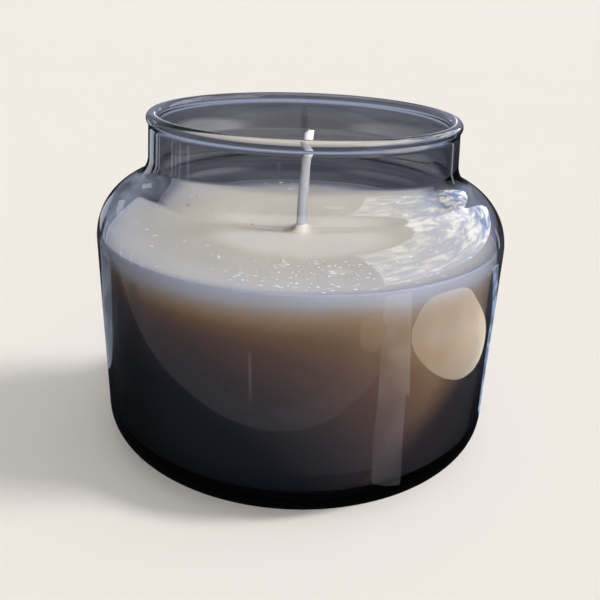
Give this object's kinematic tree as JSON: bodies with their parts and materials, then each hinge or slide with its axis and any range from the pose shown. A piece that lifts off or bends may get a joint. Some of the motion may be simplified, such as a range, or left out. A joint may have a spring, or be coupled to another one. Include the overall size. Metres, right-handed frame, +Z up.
{
  "type": "candle jar",
  "caption": "Wide-mouthed, round-shouldered jar of smoked glass with a bead rim, filled with pale wax that holds an upright cotton wick.",
  "frame": {"origin": "centre of the base ring, in the plane the jar stands on", "axes": "+Z up along the jar's axis of revolution; -Y towards the side the wick stands off centre to"},
  "size_m": [0.1, 0.1, 0.0805],
  "materials": {
    "smoked_glass": "fire-polished, smoky blue-grey tint",
    "wax": "poured paraffin and soy wax, cream, slightly sweated, brown where it is seen through the glass",
    "cotton": "braided cotton soaked in clear wax",
    "paper_core": "twisted paper cord",
    "tinplate": "bright pressed tinplate",
    "foam_adhesive": "white double-sided foam"
  },
  "bodies": {
    "root": {"glass_jar": "smoked_glass", "wax_fill": "wax", "wick_braid": "cotton", "wick_core": "paper_core", "wick_sustainer": "tinplate", "adhesive_dot": "foam_adhesive"}
  },
  "joints": []
}
